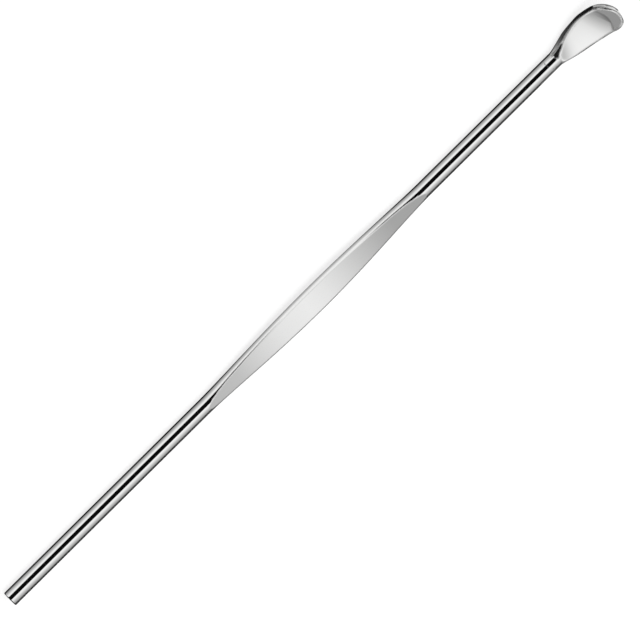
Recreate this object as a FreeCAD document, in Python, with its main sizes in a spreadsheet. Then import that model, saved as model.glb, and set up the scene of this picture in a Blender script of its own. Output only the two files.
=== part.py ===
"""Ear pick: one length of round steel wire, pressed flat for a finger grip and forged into a scoop.

Each feature is drawn with the butt's centre at the origin, the wire along +X and the scoop
opening along +Z. The finished solid is set down on its back over the origin, as it lies on a
table. Millimetres throughout.
"""
import FreeCAD, Part
import math
import os
import Sketcher
from FreeCAD import Placement, Rotation, Vector

NODE = "ear_pick"

SIZES = {
    # the wire
    "overall_length": 80.0,
    "wire_diameter": 1.6,
    "butt_chamfer": 0.12,
    # the finger grip: a lens pressed into the top and the underside of the wire
    "grip_start": 26.1,
    "grip_length": 28.8,
    "grip_width": 2.96,
    "grip_top": 0.48,
    "grip_underside": 0.17,
    "grip_run_out": 27.0,
    # the blank that the scoop is pressed from, where the wire flares out to more than the scoop's width
    "flare_setback": 7.4,
    "flare_length": 5.4,
    "flare_softness": 0.8,
    "trim_allowance": 0.1,
    "blank_height": 3.6,
    # the bend of the scoop, set back from its tip
    "bend_setback": 4.4,
    "rim_height": 0.35,
    "rim_radius": 6.3,
    "throat_radius": 8.0,
    "scoop_thickness": 0.55,
    # the steeper lip, past a crease that sweeps round behind the tip
    "lip_setback": 1.16,
    "lip_slope": 46.0,
    "lip_sweep": 7.0,
    # the back, which leaves the underside of the wire in two blends
    "heel_radius": 5.5,
    "heel_lead": 0.6,
    # the scoop's outline, cut square to the sheet near its tip
    "scoop_width": 3.8,
    "tip_length": 2.0,
    "tip_tilt": 14.0,
}

GRIP_STATIONS = 6
BLANK_STATIONS = 10

# how near the butt an edge must lie to be the one round it, in mm
BUTT_REACH = 0.01

doc = FreeCAD.newDocument("ear_pick")
sheet = doc.addObject("Spreadsheet::Sheet", "Sizes")
for row, (alias, size) in enumerate(SIZES.items(), start=1):
    sheet.set(f"A{row}", alias)
    sheet.set(f"B{row}", str(size))
    sheet.setAlias(f"B{row}", alias)
doc.recompute()

WIRE_RADIUS = "Sizes.wire_diameter / 2"
GRIP_END = "(Sizes.grip_start + Sizes.grip_length)"
FLARE_START = "(Sizes.overall_length - Sizes.flare_setback)"
BEND_X = "(Sizes.overall_length - Sizes.bend_setback)"
BACK_RADIUS = "(Sizes.rim_radius + Sizes.scoop_thickness)"
TIP_Z = (f"(Sizes.rim_height + Sizes.rim_radius"
         f" - sqrt({BACK_RADIUS}^2 - Sizes.bend_setback^2))")


def value(expression):
    """The number that an expression on the sheet comes to."""
    result = sheet.evalExpression(expression)
    return getattr(result, "Value", result)


def origin_plane(body, role):
    """One of a body's own three planes."""
    for feature in body.Origin.OriginFeatures:
        if feature.Role == role:
            return feature


def new_sketch(body, name, role):
    """An empty sketch on one of a body's planes."""
    sketch = body.newObject("Sketcher::SketchObject", name)
    sketch.AttachmentSupport = [(origin_plane(body, role), "")]
    sketch.MapMode = "FlatFace"
    return sketch


def size(sketch, name, expression, *constraint):
    """Adds a dimension to a sketch and ties it to the sheet."""
    kind, *points = constraint
    index = sketch.addConstraint(Sketcher.Constraint(kind, *points, value(expression)))
    sketch.renameConstraint(index, name)
    sketch.setExpression(f"Constraints.{name}", expression)


def oval(centre, half_width, half_height):
    """An ellipse, with the places of its level axis and of its upright one, the longer first."""
    if half_width < half_height:
        top, side = centre + Vector(0, half_height, 0), centre - Vector(half_width, 0, 0)
        return Part.Ellipse(top, side, centre), 1, 0
    side, top = centre + Vector(half_width, 0, 0), centre + Vector(0, half_height, 0)
    return Part.Ellipse(side, top, centre), 0, 1


def section(body, name, along, half_width, half_height="", centre="0"):
    """A round or elliptical section square to the wire, at a distance along it."""
    sketch = new_sketch(body, name, "YZ_Plane")
    sketch.setExpression("AttachmentOffset.Base.z", along)
    height = value(centre)
    if not half_height:
        sketch.addGeometry(Part.Circle(Vector(0, 0, 0), Vector(0, 0, 1), value(half_width)), False)
        sketch.addConstraint(Sketcher.Constraint("Coincident", 0, 3, -1, 1))
        size(sketch, "radius", half_width, "Radius", 0)
        return sketch
    ellipse, level, upright = oval(Vector(0, height, 0), value(half_width), value(half_height))
    sketch.addGeometry(ellipse, False)
    sketch.exposeInternalGeometry(0)
    sketch.addConstraint(Sketcher.Constraint("PointOnObject", 0, 3, -2))
    sketch.addConstraint(Sketcher.Constraint("Horizontal", 1 + level))
    size(sketch, "width", f"2 * ({half_width})", "Distance", 1 + level)
    size(sketch, "height", f"2 * ({half_height})", "Distance", 1 + upright)
    if height:
        size(sketch, "centre", centre, "DistanceY", -1, 1, 0, 3)
    else:
        sketch.addConstraint(Sketcher.Constraint("PointOnObject", 0, 3, -1))
    return sketch


def loft(body, name, sections):
    """A smooth solid through the sections, joined to the body."""
    feature = body.newObject("PartDesign::AdditiveLoft", name)
    feature.Profile = sections[0]
    feature.Sections = sections[1:]
    feature.Ruled = False
    feature.Refine = False
    return feature


def wire_length(body, name, start, length):
    """A straight length of the round wire."""
    pad = body.newObject("PartDesign::Pad", name)
    pad.Profile = section(body, f"{name}_section", start, WIRE_RADIUS)
    pad.setExpression("Length", length)
    pad.Refine = False
    return pad


def joined(sketch, edges, smooth=()):
    """Draws a closed outline of edges, each (edge, its start, its end); the smooth ones run into the next."""
    for edge, _, _ in edges:
        sketch.addGeometry(edge, False)
    for index, (_, _, end) in enumerate(edges):
        after = (index + 1) % len(edges)
        joint = "Tangent" if index in smooth else "Coincident"
        sketch.addConstraint(Sketcher.Constraint(joint, index, end, after, edges[after][1]))


def line(start, end):
    """A straight edge of an outline, with the numbers of its two ends."""
    return Part.LineSegment(start, end), 1, 2


def arc(centre, radius, start_angle, end_angle, backwards=False):
    """A round edge of an outline, drawn anticlockwise, angles in degrees."""
    circle = Part.Circle(centre, Vector(0, 0, 1), radius)
    edge = Part.ArcOfCircle(circle, math.radians(start_angle), math.radians(end_angle))
    return (edge, 2, 1) if backwards else (edge, 1, 2)


def press(body, name, sketch):
    """Cuts an outline drawn in the side view right across the body."""
    doc.recompute()
    before = body.Shape.Volume
    pocket = body.newObject("PartDesign::Pocket", name)
    pocket.Profile = sketch
    pocket.Type = "ThroughAll"
    pocket.SideType = "Symmetric"
    pocket.Refine = False
    doc.recompute()
    after = body.Shape.Volume
    print(f"{name}: {before:.3f} mm3 to {after:.3f} mm3")
    if after > before - 1e-3:
        raise RuntimeError(f"{name} cuts nothing")


def press_grip_top(body):
    """A flat pressed into the top of the wire, running out to the surface in an arc at each end."""
    sketch = new_sketch(body, "grip_top_outline", "XZ_Plane")
    wire, level, run_out = value(WIRE_RADIUS), value("Sizes.grip_top"), value("Sizes.grip_run_out")
    start, end = value("Sizes.grip_start"), value(GRIP_END)
    clear = value("3 * Sizes.wire_diameter / 2")
    ramp_angle = math.acos(1 - (wire - level) / run_out)
    ramp = run_out * math.sin(ramp_angle)
    degrees = math.degrees(ramp_angle)
    flat_start, flat_end = Vector(start + ramp, level, 0), Vector(end - ramp, level, 0)
    joined(sketch, [
        arc(flat_start + Vector(0, run_out, 0), run_out, 270 - degrees, 270),
        line(flat_start, flat_end),
        arc(flat_end + Vector(0, run_out, 0), run_out, 270, 270 + degrees),
        line(Vector(end, wire, 0), Vector(end, clear, 0)),
        line(Vector(end, clear, 0), Vector(start, clear, 0)),
        line(Vector(start, clear, 0), Vector(start, wire, 0)),
    ], smooth=(0, 1))
    for vertical in (3, 5):
        sketch.addConstraint(Sketcher.Constraint("Vertical", vertical))
    for horizontal in (1, 4):
        sketch.addConstraint(Sketcher.Constraint("Horizontal", horizontal))
    size(sketch, "run_out", "Sizes.grip_run_out", "Radius", 0)
    sketch.addConstraint(Sketcher.Constraint("Equal", 0, 2))
    size(sketch, "start", "Sizes.grip_start", "DistanceX", -1, 1, 0, 1)
    size(sketch, "length", "Sizes.grip_length", "DistanceX", 0, 1, 2, 2)
    size(sketch, "level", "Sizes.grip_top", "DistanceY", -1, 1, 1, 1)
    size(sketch, "surface", WIRE_RADIUS, "DistanceY", -1, 1, 0, 1)
    size(sketch, "clearance", "3 * Sizes.wire_diameter / 2", "DistanceY", -1, 1, 4, 1)
    press(body, "grip_top_press", sketch)


def press_grip_underside(body):
    """One long shallow arc pressed up into the underside of the wire."""
    sketch = new_sketch(body, "grip_underside_outline", "XZ_Plane")
    depth = f"({WIRE_RADIUS} - Sizes.grip_underside)"
    radius_expression = f"(Sizes.grip_length^2 / 4 + {depth}^2) / (2 * {depth})"
    radius, wire = value(radius_expression), value(WIRE_RADIUS)
    start, end = value("Sizes.grip_start"), value(GRIP_END)
    clear = -value("3 * Sizes.wire_diameter / 2")
    half_angle = math.degrees(math.asin((end - start) / 2 / radius))
    centre = Vector((start + end) / 2, -value("Sizes.grip_underside") - radius, 0)
    joined(sketch, [
        arc(centre, radius, 90 - half_angle, 90 + half_angle, backwards=True),
        line(Vector(end, -wire, 0), Vector(end, clear, 0)),
        line(Vector(end, clear, 0), Vector(start, clear, 0)),
        line(Vector(start, clear, 0), Vector(start, -wire, 0)),
    ])
    for vertical in (1, 3):
        sketch.addConstraint(Sketcher.Constraint("Vertical", vertical))
    sketch.addConstraint(Sketcher.Constraint("Horizontal", 2))
    sketch.addConstraint(Sketcher.Constraint("Horizontal", 0, 1, 0, 2))
    size(sketch, "start", "Sizes.grip_start", "DistanceX", -1, 1, 3, 2)
    size(sketch, "length", "Sizes.grip_length", "DistanceX", 3, 2, 1, 1)
    size(sketch, "radius", radius_expression, "Radius", 0)
    size(sketch, "surface", WIRE_RADIUS, "DistanceY", 3, 2, -1, 1)
    size(sketch, "clearance", "3 * Sizes.wire_diameter / 2", "DistanceY", 3, 1, -1, 1)
    press(body, "grip_underside_press", sketch)


def build_grip(body):
    """The grip spreads sideways by as much metal as the two presses push in."""
    stations = []
    for index in range(GRIP_STATIONS + 1):
        place = index / GRIP_STATIONS
        squeeze = f"(1 - {2 * place - 1}^2)^1.5"
        along = f"Sizes.grip_start + Sizes.grip_length * {place}"
        if index in (0, GRIP_STATIONS):
            stations.append(section(body, f"grip_section_{index}", along, WIRE_RADIUS))
            continue
        half_width = f"{WIRE_RADIUS} + (Sizes.grip_width - Sizes.wire_diameter) / 2 * {squeeze}"
        stations.append(section(body, f"grip_section_{index}", along, half_width, WIRE_RADIUS,
                                f"(Sizes.grip_top - Sizes.grip_underside) / 2 * {squeeze}"))
    loft(body, "grip_spread", stations)


def build_blank(body):
    """The wire's end flares into a broad blank that follows the scoop's bend."""
    length = "(Sizes.flare_setback + Sizes.scoop_thickness / 2)"
    stations = []
    for index in range(BLANK_STATIONS + 1):
        run = f"({length} * {index / BLANK_STATIONS})"
        along = f"{FLARE_START} + {run}"
        if index == 0:
            stations.append(section(body, "blank_section_0", along, WIRE_RADIUS))
            continue
        soft = f"(({run} + sqrt({run}^2 + Sizes.flare_softness^2) - Sizes.flare_softness) / 2)"
        flared = f"min({soft} / Sizes.flare_length; 1)"
        spread = f"(Sizes.scoop_width / 2 + Sizes.trim_allowance - {WIRE_RADIUS}) * (1 - (1 - {flared})^2)"
        deepening = f"(Sizes.blank_height - Sizes.wire_diameter) / 2 * {flared}"
        half_width, half_height = f"{WIRE_RADIUS} + {spread}", f"{WIRE_RADIUS} + {deepening}"
        past_bend = f"({along} - {BEND_X})"
        middle_radius = "(Sizes.rim_radius + Sizes.scoop_thickness / 2)"
        centre = "0"
        if value(past_bend) > 0:
            centre = f"{middle_radius} - sqrt({middle_radius}^2 - {past_bend}^2)"
        stations.append(section(body, f"blank_section_{index}", along, half_width, half_height, centre))
    loft(body, "scoop_blank", stations)


def press_scoop_top(body):
    """The throat falls from the top of the wire and the rim rises again to the tip."""
    sketch = new_sketch(body, "scoop_top_outline", "XZ_Plane")
    bend, low = value(BEND_X), value("Sizes.rim_height")
    throat, rim = value("Sizes.throat_radius"), value("Sizes.rim_radius")
    clear = value("Sizes.overall_length / 10")
    start_angle = math.degrees(math.acos((throat + low - value("Sizes.wire_diameter")) / throat))
    end_run = value("Sizes.bend_setback + Sizes.scoop_thickness")
    end_angle = math.degrees(math.asin(end_run / rim))
    throat_run = throat * math.sin(math.radians(start_angle))
    throat_start = Vector(bend - throat_run, value("Sizes.wire_diameter"), 0)
    rim_end = Vector(bend + end_run, low + rim * (1 - math.cos(math.radians(end_angle))), 0)
    joined(sketch, [
        arc(Vector(bend, low + throat, 0), throat, 270 - start_angle, 270),
        arc(Vector(bend, low + rim, 0), rim, 270, 270 + end_angle),
        line(rim_end, Vector(rim_end.x, clear, 0)),
        line(Vector(rim_end.x, clear, 0), Vector(throat_start.x, clear, 0)),
        line(Vector(throat_start.x, clear, 0), throat_start),
    ])
    for vertical in (2, 4):
        sketch.addConstraint(Sketcher.Constraint("Vertical", vertical))
    sketch.addConstraint(Sketcher.Constraint("Horizontal", 3))
    size(sketch, "throat_radius", "Sizes.throat_radius", "Radius", 0)
    size(sketch, "rim_radius", "Sizes.rim_radius", "Radius", 1)
    sketch.addConstraint(Sketcher.Constraint("Vertical", 0, 3, 0, 2))
    sketch.addConstraint(Sketcher.Constraint("Vertical", 1, 3, 0, 2))
    size(sketch, "bend", BEND_X, "DistanceX", -1, 1, 0, 2)
    size(sketch, "rim_height", "Sizes.rim_height", "DistanceY", -1, 1, 0, 2)
    size(sketch, "throat_start", "Sizes.wire_diameter", "DistanceY", -1, 1, 0, 1)
    size(sketch, "rim_end", "Sizes.bend_setback + Sizes.scoop_thickness", "DistanceX", 0, 2, 1, 2)
    size(sketch, "clearance", "Sizes.overall_length / 10", "DistanceY", -1, 1, 3, 1)
    press(body, "scoop_top_press", sketch)


def raise_lip(body):
    """The end of the scoop turns up more steeply past a crease that curves with the tip."""
    sketch = new_sketch(body, "lip_outline", "XZ_Plane")
    crease_run = "(Sizes.bend_setback - Sizes.lip_setback)"
    crease_x = "(Sizes.overall_length - Sizes.lip_setback)"
    crease_z = f"(Sizes.rim_height + Sizes.rim_radius - sqrt(Sizes.rim_radius^2 - {crease_run}^2))"
    ahead, behind = "(Sizes.lip_setback + Sizes.scoop_thickness)", "(3 * Sizes.scoop_thickness)"
    rise = "tan(Sizes.lip_slope * 1 deg)"
    crease = Vector(value(crease_x), value(crease_z), 0)
    slope = value(rise)
    low = crease - Vector(1, slope, 0) * value(behind)
    high = crease + Vector(1, slope, 0) * value(ahead)
    joined(sketch, [
        line(low, high),
        line(high, Vector(high.x, low.y, 0)),
        line(Vector(high.x, low.y, 0), low),
    ])
    axis_x = crease.x - value("Sizes.lip_sweep")
    sketch.addGeometry(Part.LineSegment(Vector(axis_x, 0, 0), Vector(axis_x, crease.y, 0)), True)
    sketch.addConstraint(Sketcher.Constraint("Vertical", 1))
    sketch.addConstraint(Sketcher.Constraint("Horizontal", 2))
    sketch.addConstraint(Sketcher.Constraint("Vertical", 3))
    sketch.addConstraint(Sketcher.Constraint("PointOnObject", 3, 1, -1))
    size(sketch, "axis", f"{crease_x} - Sizes.lip_sweep", "DistanceX", -1, 1, 3, 1)
    size(sketch, "axis_height", crease_z, "DistanceY", -1, 1, 3, 2)
    size(sketch, "high_x", f"{crease_x} + {ahead}", "DistanceX", -1, 1, 0, 2)
    size(sketch, "high_z", f"{crease_z} + {rise} * {ahead}", "DistanceY", -1, 1, 0, 2)
    size(sketch, "run", f"{ahead} + {behind}", "DistanceX", 0, 1, 0, 2)
    size(sketch, "climb", f"{rise} * ({ahead} + {behind})", "DistanceY", 0, 1, 0, 2)
    lip = body.newObject("PartDesign::Revolution", "lip")
    lip.Profile = sketch
    lip.ReferenceAxis = (sketch, ["Axis0"])
    lip.Midplane = True
    lip.Refine = False
    lip.setExpression("Angle", "2 * atan(Sizes.scoop_width / 2 / (Sizes.lip_sweep - Sizes.lip_setback / 2))")


def press_scoop_back(body):
    """The back keeps to the wire's underside, rises in two equal blends and follows the rim."""
    sketch = new_sketch(body, "scoop_back_outline", "XZ_Plane")
    wire, heel = value(WIRE_RADIUS), value("Sizes.heel_radius")
    back, lead, flare_x = value(BACK_RADIUS), value("Sizes.heel_lead"), value(FLARE_START)
    bend_centre = Vector(value(BEND_X), value("Sizes.rim_height + Sizes.rim_radius"), 0)
    lead_angle = math.asin(lead / back)
    lead_point = bend_centre + Vector(math.sin(lead_angle), -math.cos(lead_angle), 0) * back
    slope = math.acos((math.cos(lead_angle) + 1 - (wire + lead_point.y) / heel) / 2)
    upper_centre = lead_point + Vector(math.sin(lead_angle), -math.cos(lead_angle), 0) * heel
    lower_centre = upper_centre + Vector(-math.sin(slope), math.cos(slope), 0) * 2 * heel
    heel_start = lower_centre - Vector(0, heel, 0)
    end_run = value("Sizes.bend_setback + Sizes.scoop_thickness")
    end_angle = math.degrees(math.asin(end_run / back))
    back_end = bend_centre + Vector(end_run, -math.sqrt(back ** 2 - end_run ** 2), 0)
    clear = -3 * wire
    slope_degrees, lead_degrees = math.degrees(slope), math.degrees(lead_angle)
    joined(sketch, [
        arc(lower_centre, heel, 270, 270 + slope_degrees),
        arc(upper_centre, heel, 90 + lead_degrees, 90 + slope_degrees, backwards=True),
        arc(bend_centre, back, 270 + lead_degrees, 270 + end_angle),
        line(back_end, Vector(back_end.x, clear, 0)),
        line(Vector(back_end.x, clear, 0), Vector(flare_x, clear, 0)),
        line(Vector(flare_x, clear, 0), Vector(flare_x, -wire, 0)),
        line(Vector(flare_x, -wire, 0), heel_start),
    ], smooth=(0, 1, 6))
    for vertical in (3, 5):
        sketch.addConstraint(Sketcher.Constraint("Vertical", vertical))
    for horizontal in (4, 6):
        sketch.addConstraint(Sketcher.Constraint("Horizontal", horizontal))
    size(sketch, "flare_start", FLARE_START, "DistanceX", -1, 1, 5, 2)
    size(sketch, "heel_radius", "Sizes.heel_radius", "Radius", 0)
    sketch.addConstraint(Sketcher.Constraint("Equal", 0, 1))
    size(sketch, "back_radius", BACK_RADIUS, "Radius", 2)
    size(sketch, "bend_x", BEND_X, "DistanceX", -1, 1, 2, 3)
    size(sketch, "bend_z", "Sizes.rim_height + Sizes.rim_radius", "DistanceY", -1, 1, 2, 3)
    size(sketch, "lead", "Sizes.heel_lead", "DistanceX", 2, 3, 2, 1)
    size(sketch, "underside", WIRE_RADIUS, "DistanceY", 0, 1, -1, 1)
    size(sketch, "back_end", "Sizes.bend_setback + Sizes.scoop_thickness", "DistanceX", 2, 3, 2, 2)
    size(sketch, "clearance", "3 * Sizes.wire_diameter / 2", "DistanceY", 4, 1, -1, 1)
    press(body, "scoop_back_press", sketch)


def trim_tip(body):
    """Cuts the rounded end square to the sheet, on a plane through the tip's lower edge."""
    sketch = new_sketch(body, "tip_outline", "XY_Plane")
    sketch.AttachmentOffset = Placement(Vector(0, 0, 0), Rotation(Vector(0, 1, 0), -1))
    sketch.setExpression("AttachmentOffset.Base.x", "Sizes.overall_length")
    sketch.setExpression("AttachmentOffset.Base.z", TIP_Z)
    sketch.setExpression("AttachmentOffset.Rotation.Angle", "Sizes.tip_tilt")
    sketch.setExpression("AttachmentOffset.Rotation.Axis.y", "-1")
    tip, half = value("Sizes.tip_length"), value("Sizes.scoop_width / 2")
    wide = value("Sizes.scoop_width")
    back = -tip - half
    ellipse, level, upright = oval(Vector(-tip, 0, 0), tip, half)
    start_angle = -math.pi if level else -math.pi / 2
    curve = Part.ArcOfEllipse(ellipse, start_angle, start_angle + math.pi)
    corners = [Vector(back, half, 0), Vector(-tip, half, 0), Vector(-tip, -half, 0), Vector(back, -half, 0),
               Vector(back, -wide, 0), Vector(wide, -wide, 0), Vector(wide, wide, 0), Vector(back, wide, 0)]
    outline = [
        line(corners[0], corners[1]),
        (curve, 2, 1),
        line(corners[2], corners[3]),
        line(corners[3], corners[4]),
        line(corners[4], corners[5]),
        line(corners[5], corners[6]),
        line(corners[6], corners[7]),
        line(corners[7], corners[0]),
    ]
    joined(sketch, outline)
    sketch.exposeInternalGeometry(1)
    level_axis, upright_axis = len(outline) + level, len(outline) + upright
    for horizontal in (0, 2, 4, 6):
        sketch.addConstraint(Sketcher.Constraint("Horizontal", horizontal))
    for vertical in (3, 5, 7):
        sketch.addConstraint(Sketcher.Constraint("Vertical", vertical))
    sketch.addConstraint(Sketcher.Constraint("PointOnObject", 1, 3, -1))
    sketch.addConstraint(Sketcher.Constraint("Vertical", 0, 2, 1, 3))
    sketch.addConstraint(Sketcher.Constraint("Vertical", 2, 1, 1, 3))
    sketch.addConstraint(Sketcher.Constraint("Horizontal", level_axis))
    size(sketch, "tip_axis", "2 * Sizes.tip_length", "Distance", level_axis)
    size(sketch, "side_axis", "Sizes.scoop_width", "Distance", upright_axis)
    size(sketch, "widest", "Sizes.tip_length", "DistanceX", 1, 3, -1, 1)
    size(sketch, "run_back", "Sizes.scoop_width / 2", "DistanceX", 0, 1, 0, 2)
    size(sketch, "run_back_2", "Sizes.scoop_width / 2", "DistanceX", 2, 2, 2, 1)
    size(sketch, "low_side", "Sizes.scoop_width", "DistanceY", 4, 1, -1, 1)
    size(sketch, "high_side", "Sizes.scoop_width", "DistanceY", -1, 1, 6, 1)
    size(sketch, "ahead", "Sizes.scoop_width", "DistanceX", -1, 1, 5, 1)
    press(body, "tip_trim", sketch)


def chamfer_butt(body, wire):
    """Takes the sharp edge off the butt."""
    doc.recompute()
    edges = [f"Edge{index}" for index, edge in enumerate(wire.Shape.Edges, start=1)
             if edge.BoundBox.XMax < BUTT_REACH]
    chamfer = body.newObject("PartDesign::Chamfer", "butt_edge")
    chamfer.Base = (wire, edges)
    chamfer.setExpression("Size", "Sizes.butt_chamfer")


body = doc.addObject("PartDesign::Body", NODE)
body.Label = NODE
chamfer_butt(body, wire_length(body, "handle_wire", "0", "Sizes.grip_start"))
build_grip(body)
wire_length(body, "neck_wire", GRIP_END, f"{FLARE_START} - {GRIP_END}")
build_blank(body)
press_grip_top(body)
press_grip_underside(body)
press_scoop_top(body)
raise_lip(body)
press_scoop_back(body)
trim_tip(body)
body.setExpression("Placement.Base.x", "-Sizes.overall_length / 2")
body.setExpression("Placement.Base.z", WIRE_RADIUS)
doc.recompute()

for item in doc.Objects:
    if "Invalid" in item.State or "Error" in item.State:
        raise RuntimeError(f"{item.Name} failed: {item.State}")
shape = body.Shape
if shape.isNull() or not shape.isValid() or len(shape.Solids) != 1:
    raise RuntimeError("the ear pick is not one valid solid")
print(f"volume {shape.Volume:.3f} mm3, placed {body.Placement}")
os.makedirs("parts", exist_ok=True)
shape.exportStep(f"parts/{NODE}.step")
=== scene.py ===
# %% [markdown]
# # A pressed steel ear pick
#
# The pick is one length of polished steel wire, about as long as a finger. A flat is pressed into it for
# the fingers, and its end is flared, bent up and cut to a shallow oval scoop. There is nothing on it but
# polished metal, so what we see is mostly what the metal mirrors: the shape has to be clean, and the soft
# lights and the dark cards around it do the rest.
#
# We start by loading the measured solid. It isn't changed: it tells us how long the pick is and where it
# lies, and the new piece is built over it.

# %% Load the measured solid
import math

import bpy
from mathutils import Matrix, Vector


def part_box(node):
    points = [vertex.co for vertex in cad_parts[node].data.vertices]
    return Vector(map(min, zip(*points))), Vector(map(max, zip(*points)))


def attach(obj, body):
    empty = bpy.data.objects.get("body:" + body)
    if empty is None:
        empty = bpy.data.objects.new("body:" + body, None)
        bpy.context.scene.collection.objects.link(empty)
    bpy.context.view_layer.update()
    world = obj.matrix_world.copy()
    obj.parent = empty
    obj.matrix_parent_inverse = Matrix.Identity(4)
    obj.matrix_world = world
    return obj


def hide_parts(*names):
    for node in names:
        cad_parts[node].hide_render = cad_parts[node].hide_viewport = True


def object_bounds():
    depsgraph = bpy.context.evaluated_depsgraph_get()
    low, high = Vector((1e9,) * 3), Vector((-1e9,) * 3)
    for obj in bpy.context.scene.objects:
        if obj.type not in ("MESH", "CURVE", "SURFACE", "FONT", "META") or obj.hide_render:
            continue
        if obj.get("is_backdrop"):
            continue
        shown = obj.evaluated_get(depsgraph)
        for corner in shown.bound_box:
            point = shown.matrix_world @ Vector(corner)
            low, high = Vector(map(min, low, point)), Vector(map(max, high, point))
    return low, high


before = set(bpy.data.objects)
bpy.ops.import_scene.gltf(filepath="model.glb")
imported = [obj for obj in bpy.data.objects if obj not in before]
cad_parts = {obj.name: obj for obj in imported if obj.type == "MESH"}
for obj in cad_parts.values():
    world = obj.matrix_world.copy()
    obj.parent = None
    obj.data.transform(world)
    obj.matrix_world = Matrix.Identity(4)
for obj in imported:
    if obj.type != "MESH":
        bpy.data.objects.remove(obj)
cad_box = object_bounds()
pick_low, pick_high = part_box("ear_pick")
print("the pick is", [round(1000 * (high - low), 2) for low, high in zip(pick_low, pick_high)], "mm")

# %% [markdown]
# The wire is thinner than some of Blender's own tolerances, which are set for things of a metre or so. It
# could be modelled at its real size, but cuts and merges would then join points by mistake. So the piece is
# modelled with one unit to the millimetre, with the middle of the butt at the origin and the wire along X,
# and it is brought down to its real size when it is finished.

# %% The wire, in millimetres
MM = 0.001
LENGTH = (pick_high[0] - pick_low[0]) / MM
WIRE_RADIUS = 0.8
ALONG = Vector((1, 0, 0))
ACROSS = Vector((0, 1, 0))
print("the wire is", round(LENGTH, 2), "mm long and", 2 * WIRE_RADIUS, "mm thick")

# %% [markdown]
# An operator works on everything that is selected, so three small helpers come first. One leaves a single
# object selected, or none. One opens a piece for editing with only those corners or edges selected that a
# test picks by their place. The last cuts a piece with another solid, or keeps what the two share, and
# throws the tool away.


# %% Helpers for selecting and cutting
def select_only(thing=None):
    """Leaves one object selected and active, or none."""
    bpy.ops.object.select_all(action="DESELECT")
    if thing:
        thing.select_set(True)
        bpy.context.view_layer.objects.active = thing


def select_parts(thing, kind, wanted):
    """Opens the active piece for editing, with only the parts of one kind selected that a test picks."""
    bpy.ops.object.mode_set(mode="EDIT")
    bpy.ops.mesh.select_mode(type=kind)
    bpy.ops.mesh.select_all(action="DESELECT")
    bpy.ops.object.mode_set(mode="OBJECT")
    for part in thing.data.vertices if kind == "VERT" else thing.data.edges:
        part.select = wanted(part)
    bpy.ops.object.mode_set(mode="EDIT")


def combine(body, tool, how):
    """Cuts a tool out of a solid, or keeps what the two share, and removes the tool."""
    select_only(body)
    step = body.modifiers.new("combine", "BOOLEAN")
    step.operation = how
    step.object = tool
    step.solver = "EXACT"
    bpy.ops.object.modifier_apply(modifier=step.name)
    bpy.data.objects.remove(tool)
    print(how.lower(), "leaves", len(body.data.polygons), "faces")


# %% [markdown]
# ## The blank
#
# Before it is pressed, the pick is a round bar whose section changes along its length. Where the fingers
# hold it, the metal spreads sideways, most in the middle and not at all at the ends. A smooth hump gives
# that spread. The section's middle lies halfway between the two faces that the presses will leave, so each
# press has the same amount to take away.

# %% The section where the grip spreads
GRIP_START = 26.1
GRIP_LENGTH = 28.8
GRIP_END = GRIP_START + GRIP_LENGTH
GRIP_WIDTH = 2.96
GRIP_TOP = 0.48
GRIP_UNDERSIDE = 0.17


def grip_section(x):
    """Half width, half height and middle height of the section, at a distance from the butt."""
    run = 2 * (x - GRIP_START) / GRIP_LENGTH - 1
    squeeze = max(0.0, 1 - run**2) ** 1.5
    half_width = WIRE_RADIUS + (GRIP_WIDTH / 2 - WIRE_RADIUS) * squeeze
    return half_width, WIRE_RADIUS, (GRIP_TOP - GRIP_UNDERSIDE) / 2 * squeeze


print("the grip's middle is", GRIP_WIDTH, "mm wide and", round(GRIP_TOP + GRIP_UNDERSIDE, 2), "mm thick")

# %% [markdown]
# At the scoop the wire is hammered out to a wide blank and bent up. The blank is made a little larger all
# round than the finished scoop, because the presses and the shear take it down to size, as they do in the
# workshop. The flare sets in softly, and past the bend the middle of the blank follows an arc.

# %% The section where the scoop flares
SCOOP_WIDTH = 3.8
TRIM = 0.2
FLARE_START = LENGTH - 7.4
FLARE_LENGTH = 5.4
FLARE_SOFTNESS = 0.8
BLANK_WIDTH = SCOOP_WIDTH + TRIM
BLANK_HEIGHT = 3.6
BEND_X = LENGTH - 4.4
RIM_RADIUS = 6.3
SHEET = 0.55


def scoop_section(x):
    """Half width, half height and middle height where the wire flares out and follows its bend."""
    run = x - FLARE_START
    soft = (run + math.hypot(run, FLARE_SOFTNESS) - FLARE_SOFTNESS) / 2
    flared = min(soft / FLARE_LENGTH, 1)
    half_width = WIRE_RADIUS + (BLANK_WIDTH / 2 - WIRE_RADIUS) * (1 - (1 - flared) ** 2)
    half_height = WIRE_RADIUS + (BLANK_HEIGHT / 2 - WIRE_RADIUS) * flared
    middle_radius = RIM_RADIUS + SHEET / 2
    past_bend = max(0.0, x - BEND_X)
    return half_width, half_height, middle_radius - math.sqrt(middle_radius**2 - past_bend**2)


print("the blank is", BLANK_WIDTH, "mm wide for a scoop of", SCOOP_WIDTH, "mm")

# %% [markdown]
# The blank could be a curve with a bevel, or a stack of rings joined one by one. Here it is a disc that is
# extruded again and again and scaled after each step, because that puts every section exactly where it is
# wanted. Plain wire needs no step in between, so the sections stand close together only where it changes.

# %% Draw the blank out of a disc
RING_POINTS = 192
GRIP_STEPS = 96
SCOOP_STEPS = 72
BLANK_END = LENGTH + SHEET / 2

stations = [GRIP_START + GRIP_LENGTH * step / GRIP_STEPS for step in range(GRIP_STEPS + 1)]
stations += [FLARE_START + (BLANK_END - FLARE_START) * step / SCOOP_STEPS for step in range(SCOOP_STEPS + 1)]

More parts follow.
